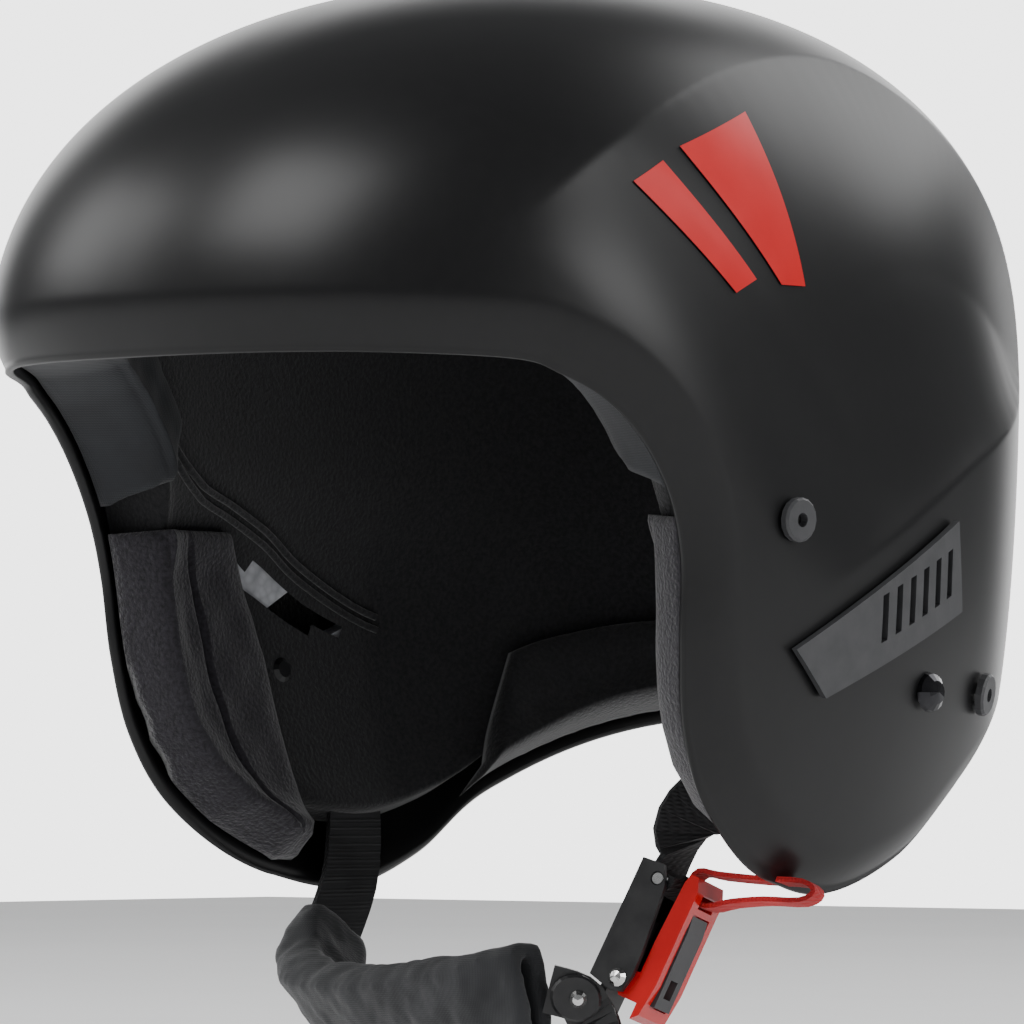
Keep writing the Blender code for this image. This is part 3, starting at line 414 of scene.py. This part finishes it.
# Side view (y, z), in millimetres, of the bare foam left between the lining and the ear zone
BARE_FOAM = ((-25, 100), (-14, 97.5), (2, 91), (14, 84), (24, 79), (38, 72.5), (46, 69), (40, 68),
             (33, 70), (27, 72), (20, 69), (15, 75), (10, 71), (5, 79), (-4, 81), (-14, 88), (-22, 95))
PIPING = ((-77, 148), (-66, 136), (-53, 124), (-42, 113.5), (-31, 106.5), (-25, 104), (-14, 100.5), (2, 94),
          (14, 87), (24, 82), (38, 75.5), (48, 71.5))
# A plain slanted bar pair, side view (y, z), in millimetres
BARS = (((-63, 181), (-52, 187), (-28, 158), (-36, 154)), ((-45, 191), (-16, 202), (-10, 157), (-19, 157)))
PILLOW_ROUND = 0.009
PILLOW_SKIRT = 0.003
PILLOW_GRID = (56, 150)
PILLOW_PLAY, PILLOW_LEAST = 0.0005, 0.002   # below the full thickness, and the least filling
DIMPLE_DEPTH, DIMPLE_Y, DIMPLE_Z, DIMPLE_X = 0.0004, 310, 270, 190
EAR_GRID = (9, 7)
EAR_CROWDING = 1.15
SEAM_WIDTH, SEAM_DEPTH = 0.0013, 0.0022
FILM_LIFT = 0.0005
FILM_STEPS = 24


def drop_to_frame(points):
    """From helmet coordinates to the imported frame."""
    return np.asarray(points, float) - np.array([0, 0, HEAD_HEIGHT])


def piece(name, points, faces, look, body="helmet", replaced=()):
    mesh = bpy.data.meshes.new(name)
    mesh.from_pydata([tuple(point) for point in points], [], faces)
    mesh.shade_smooth()
    made = bpy.data.objects.new(name, mesh)
    bpy.context.scene.collection.objects.link(made)
    return place(made, look, body, replaced)


def place(made, look, body, replaced=()):
    dress(made, look)
    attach(made, body)
    if replaced:
        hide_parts(*replaced)
    return made


def dress(made, look):
    made.data.materials.clear()
    made.data.materials.append(LOOKS[look])


def skin_faces(rows, columns, first=0):
    """Quads between rows of a closed grid, wound outwards."""
    faces = []
    for row in range(rows - 1):
        low, high = first + row * columns, first + (row + 1) * columns
        faces += [(low + k, high + k, high + (k + 1) % columns, low + (k + 1) % columns)
                  for k in range(columns)]
    return faces


def make_visual_shell():
    """The lacquered shell: a fine outer skin, a rounded rim and the inner face."""
    rows = [shell_point(*shell_map(ring, SKIN_COLUMNS), 0.0)
            for ring in np.linspace(SKIN_FIRST, 1, SKIN_RINGS) ** SKIN_EASE]
    for turn in (0.25, 0.5, 0.75, 1.0):
        depth = SHELL_WALL * (1 - cos(turn * pi)) / 2
        swell = 1 + RIM_SWELL * sin(turn * pi)
        rows.append(shell_point(*shell_map(swell, SKIN_COLUMNS), depth))
    for ring in INNER_RINGS:
        rows.append(shell_point(*shell_map(ring, SKIN_COLUMNS), SHELL_WALL))
    points = np.concatenate(rows)
    faces = skin_faces(len(rows), SKIN_COLUMNS)
    faces.append(list(range(SKIN_COLUMNS)))
    piece("shell_skin", drop_to_frame(points), faces, "shell_lacquer", replaced=("outer_shell",))


def make_lining():
    """The crown lining: one layer over the foam, open where the foam is left bare."""
    rows = []
    for ring in np.linspace(LINING_FIRST, LINING_LAST, LINING_RINGS):
        p, q = shell_map(ring, LINING_COLUMNS)
        rows.append(shell_point(p, q, foam_depth(on_map(p, q)) + LINING_LIFT, 0.0))
    p, q = shell_map(LINING_WRAP, LINING_COLUMNS)
    inner = foam_depth(on_map(p, q)) + LINING_LIFT
    for share in WRAP_STEPS:
        snug = SHELL_WALL + WRAP_GAP
        rows.append(shell_point(p, q, snug + (inner - snug) * share, 0.0))
    points = np.concatenate(rows)
    bare = inside_outline(points[:, 1:], np.array(BARE_FOAM) / 1000)
    faces = [face for face in skin_faces(len(rows), LINING_COLUMNS) if not bare[list(face)].all()]
    faces.append(list(range(LINING_COLUMNS)))
    made = piece("crown_lining", drop_to_frame(points), faces, "liner_fabric", replaced=("crown_liner",))


def tube(name, places, radius, look):
    curve = bpy.data.curves.new(name, "CURVE")
    curve.dimensions = "3D"
    curve.bevel_depth = radius
    curve.bevel_resolution = 3
    curve.use_fill_caps = True
    line = curve.splines.new("POLY")
    line.points.add(len(places) - 1)
    for point, spot in zip(line.points, places):
        point.co = (*spot, 1)
    made = bpy.data.objects.new(name, curve)
    bpy.context.scene.collection.objects.link(made)
    return place(made, look, "helmet")


def make_piping():
    for word, side in (("left", 1), ("right", -1)):
        for number, shift in enumerate(PIPING_SHIFTS):
            line = smooth_curve([(y, z + shift) for y, z in PIPING], 8) / 1000
            p, q = map_at_side(line[:, 0], line[:, 1], side)
            depth = foam_depth(on_map(p, q)) + LINING_LIFT + PIPING_RISE
            places = drop_to_frame(shell_point(p, q, depth, 0.0))
            tube("liner_piping_%s_%d" % (word, number + 1), places, PIPING_RADIUS, "liner_fabric")


def soften(node, look, body, voxel, rounds, wrinkle=0.0):
    """A padded piece: the plain solid remeshed, relaxed into soft edges, and a little creased."""
    made = bpy.data.objects.new(node + "_soft", nodes[node].data.copy())
    bpy.context.scene.collection.objects.link(made)
    remesh = made.modifiers.new("remesh", "REMESH")
    remesh.mode = "VOXEL"
    remesh.voxel_size = voxel
    relax = made.modifiers.new("relax", "SMOOTH")
    relax.factor = 0.5
    relax.iterations = rounds
    if wrinkle:
        folds = bpy.data.textures.new(node + "_folds", "CLOUDS")
        folds.noise_scale = 0.011
        crease = made.modifiers.new("crease", "DISPLACE")
        crease.texture = folds
        crease.strength = wrinkle
        crease.mid_level = 0.5
    baked = bpy.data.meshes.new_from_object(made.evaluated_get(bpy.context.evaluated_depsgraph_get()))
    made.modifiers.clear()
    made.data = baked
    made.data.shade_smooth()
    place(made, look, body, (node,))


def finer(grid, rows, columns):
    """A grid of numbers read at more places along both ways."""
    along = np.linspace(0, grid.shape[1] - 1, columns)
    wide = np.array([np.interp(along, np.arange(grid.shape[1]), row) for row in grid])
    down = np.linspace(0, grid.shape[0] - 1, rows)
    return np.array([np.interp(down, np.arange(grid.shape[0]), column) for column in wide.T]).T


def from_ends(points, axis):
    """Distance of each grid point to the nearer end of its row or column."""
    steps = np.linalg.norm(np.diff(points, axis=axis), axis=-1)
    run = np.cumsum(steps, axis=axis)
    run = np.concatenate([np.zeros_like(np.take(run, [0], axis)), run], axis=axis)
    return np.minimum(run, np.take(run, [-1], axis) - run)


def pillow(name, p, q, thick, look, node, seam=None):
    """A stuffed pad over a grid of map coordinates: full in the middle, rounded to its edges."""
    shape = PILLOW_GRID
    p, q = finer(p, *shape), finer(q, *shape)
    points = on_map(p.ravel(), q.ravel())
    back = behind_foam(points).reshape(shape)
    grid = points.reshape(*shape, 3)
    edge = np.clip(np.minimum(from_ends(grid, 0), from_ends(grid, 1)) / PILLOW_ROUND, 0, 1)
    rise = np.sqrt(1 - (1 - edge) ** 2)
    dimples = DIMPLE_DEPTH * np.sin(grid[..., 1] * DIMPLE_Y)
    dimples = dimples * np.sin(grid[..., 2] * DIMPLE_Z + grid[..., 0] * DIMPLE_X)
    filling = np.maximum(thick - PILLOW_PLAY - back - PILLOW_SKIRT, PILLOW_LEAST)
    front = back + PILLOW_SKIRT + filling * rise + dimples * edge
    if seam is not None:
        run = from_ends(grid, 1)
        half = np.arange(shape[1])[None, :] < shape[1] / 2
        away = np.where(half, run, 1.0) - run.max(axis=1, keepdims=True) * 2 * seam
        front -= SEAM_DEPTH * np.exp(-(away / SEAM_WIDTH) ** 2) * edge
    count = shape[0] * shape[1]
    both = np.concatenate([shell_point(p.ravel(), q.ravel(), face.ravel(), 0.0) for face in (back, front)])
    index = np.arange(count).reshape(shape)
    faces = []
    for low, turn in ((0, 1), (count, -1)):
        for a, b, c, d in zip(index[:-1, :-1].ravel(), index[:-1, 1:].ravel(), index[1:, 1:].ravel(),
                              index[1:, :-1].ravel()):
            faces.append([int(low + k) for k in (a, b, c, d)][::turn])
    border = np.concatenate([index[0, :-1], index[:-1, -1], index[-1, :0:-1], index[:0:-1, 0]])
    for a, b in zip(border, np.roll(border, -1)):
        faces.append([int(b), int(a), int(a + count), int(b + count)])
    made = piece(name, drop_to_frame(both), faces, look, replaced=(node,))


def make_pillows():
    front, back = np.array(EAR_PAD_FRONT) / 1000, np.array(EAR_PAD_BACK) / 1000
    heights = np.linspace(front[0, 0], front[-1, 0], EAR_GRID[0])
    across = np.linspace(0, 1, EAR_GRID[1]) ** EAR_CROWDING
    for word, side in SIDES:
        p, q = np.empty(EAR_GRID), np.empty(EAR_GRID)
        for row, z in enumerate(heights):
            low, high = np.interp(z, *front.T), np.interp(z, *back.T)
            p[row], q[row] = map_at_side(low + (high - low) * across, np.full(EAR_GRID[1], z), side)
        pillow("ear_cushion_" + word, p, q, EAR_PAD_THICK, "pad_suede", "ear_pad_" + word, 0.42)
    rim = on_map(*rim_map(RIM_COUNT))
    half = int(np.argmax(rim[:RIM_COUNT // 2, 2] < 0.1005)) - 1
    p, q = rim_strip(-half, half, (0.993, 0.972, 0.94, 0.915, 0.90))
    pillow("brow_cushion", p, q, 0.0285, "brow_fabric", "brow_liner")
    start_at = int(np.argmax((rim[:RIM_COUNT // 2, 1] > 0.068)))
    p, q = rim_strip(start_at, RIM_COUNT - start_at, (0.985, 0.95, 0.90, 0.86, 0.83))
    pillow("neck_cushion", p, q, 0.029, "liner_fabric", "neck_roll")


def make_badges():
    """Two plain slanted bars of red film on each side, laid on the shell's face."""
    for word, side in (("left", 1), ("right", -1)):
        points, faces = [], []
        for bar in BARS:
            a, b, c, d = [np.array(corner) / 1000 for corner in bar]
            steps = np.linspace(0, 1, FILM_STEPS + 1)
            flat = np.array([(a + (b - a) * u) * (1 - v) + (d + (c - d) * u) * v
                             for v in steps for u in steps])
            p, q = map_at_side(flat[:, 0], flat[:, 1], side)
            first = len(points)
            points += list(drop_to_frame(shell_point(p, q, -FILM_LIFT)))
            wide = FILM_STEPS + 1
            for row in range(FILM_STEPS):
                for k in range(FILM_STEPS):
                    low = first + row * wide + k
                    face = [low, low + wide, low + wide + 1, low + 1]
                    faces.append(face if side > 0 else face[::-1])
        piece("badge_film_" + word, points, faces, "badge_red", replaced=("side_badge_" + word,))


def round_edges():
    """Small rounded edges on the hard parts."""
    widths = {"release_lever": 0.0007, "lever_insert": 0.0004, "buckle_frame": 0.0006,
              "tongue_plate": 0.0004, "ratchet_tongue": 0.0003, "pull_loop": 0.0003,
              "ear_grille_left": 0.0005, "ear_grille_right": 0.0005}
    for name, width in widths.items():
        edge = nodes[name].modifiers.new("edge", "BEVEL")
        edge.width = width
        edge.segments = 3
        edge.limit_method = "ANGLE"
        edge.angle_limit = radians(32)
        nodes[name].data.shade_smooth()


def make_object():
    for name, node in nodes.items():
        dress(node, SLOT_OF[name])
    make_visual_shell()
    make_lining()
    make_piping()
    make_pillows()
    soften("chin_sleeve", "sleeve_nylon", "right_strap", 0.0012, 10, 0.0024)
    make_badges()
    round_edges()


# ---- stage ----------------------------------------------------------------------------------
def make_stage():
    made, tree, surface, where = start("floor_pale")
    tree.links.new(ramp(tree, noise(tree, where, 3.0), (0.90, 0.90, 0.90), (0.93, 0.93, 0.93)),
                   surface.inputs["Base Color"])
    surface.inputs["Roughness"].default_value = 0.7
    bm = bmesh.new()
    bmesh.ops.create_grid(bm, x_segments=1, y_segments=1, size=FLOOR_HALF)
    mesh = bpy.data.meshes.new("floor")
    bm.to_mesh(mesh)
    bm.free()
    mesh.materials.append(made)
    floor = bpy.data.objects.new("floor", mesh)
    floor.location.z = FLOOR_HEIGHT
    bpy.context.scene.collection.objects.link(floor)
    glow = bpy.data.materials.new("backdrop_white")
    glow.use_nodes = True
    tree = glow.node_tree
    light = tree.nodes.new("ShaderNodeEmission")
    where = tree.nodes.new("ShaderNodeTexCoord").outputs["Object"]
    tree.links.new(ramp(tree, noise(tree, where, 0.5), (0.97, 0.97, 0.97), (1, 1, 1)), light.inputs["Color"])
    light.inputs["Strength"].default_value = 3.5
    tree.links.new(light.outputs["Emission"], tree.nodes["Material Output"].inputs["Surface"])
    wall = bpy.data.objects.new("backdrop", mesh.copy())
    wall.data.materials.clear()
    wall.data.materials.append(glow)
    wall.scale = (WALL_SCALE, WALL_SCALE, 1)
    wall.location = WALL_PLACE
    wall.rotation_euler = (Vector(CAMERA_PLACE) - Vector(WALL_PLACE)).to_track_quat("Z", "Y").to_euler()
    bpy.context.scene.collection.objects.link(wall)
    world = bpy.data.worlds.new("studio")
    world.use_nodes = True
    world.node_tree.nodes["Background"].inputs["Color"].default_value = (0.93, 0.94, 0.96, 1)
    world.node_tree.nodes["Background"].inputs["Strength"].default_value = 0.22
    bpy.context.scene.world = world
    lights = (("key", (-0.15, -1.5, 1.6), 1.3, 34), ("side", (1.9, 0.5, 0.7), 1.0, 16),
              ("left", (-1.6, -0.9, 0.9), 0.9, 12), ("back", (0.3, 1.7, 1.2), 1.2, 14))
    for name, place, width, power in lights:
        lamp = bpy.data.lights.new(name, "AREA")
        lamp.size = width
        lamp.energy = power
        held = bpy.data.objects.new(name, lamp)
        held.location = place
        held.rotation_euler = (Vector((0, 0, -0.1)) - Vector(place)).to_track_quat("-Z", "Y").to_euler()
        bpy.context.scene.collection.objects.link(held)
    camera = bpy.data.cameras.new("camera")
    camera.lens = CAMERA_LENS
    camera.clip_start = 0.05
    held = bpy.data.objects.new("camera", camera)
    held.location = CAMERA_PLACE
    held.rotation_euler = (Vector(CAMERA_TARGET) - Vector(CAMERA_PLACE)).to_track_quat("-Z", "Y").to_euler()
    bpy.context.scene.collection.objects.link(held)
    bpy.context.scene.camera = held


make_object()
make_stage()
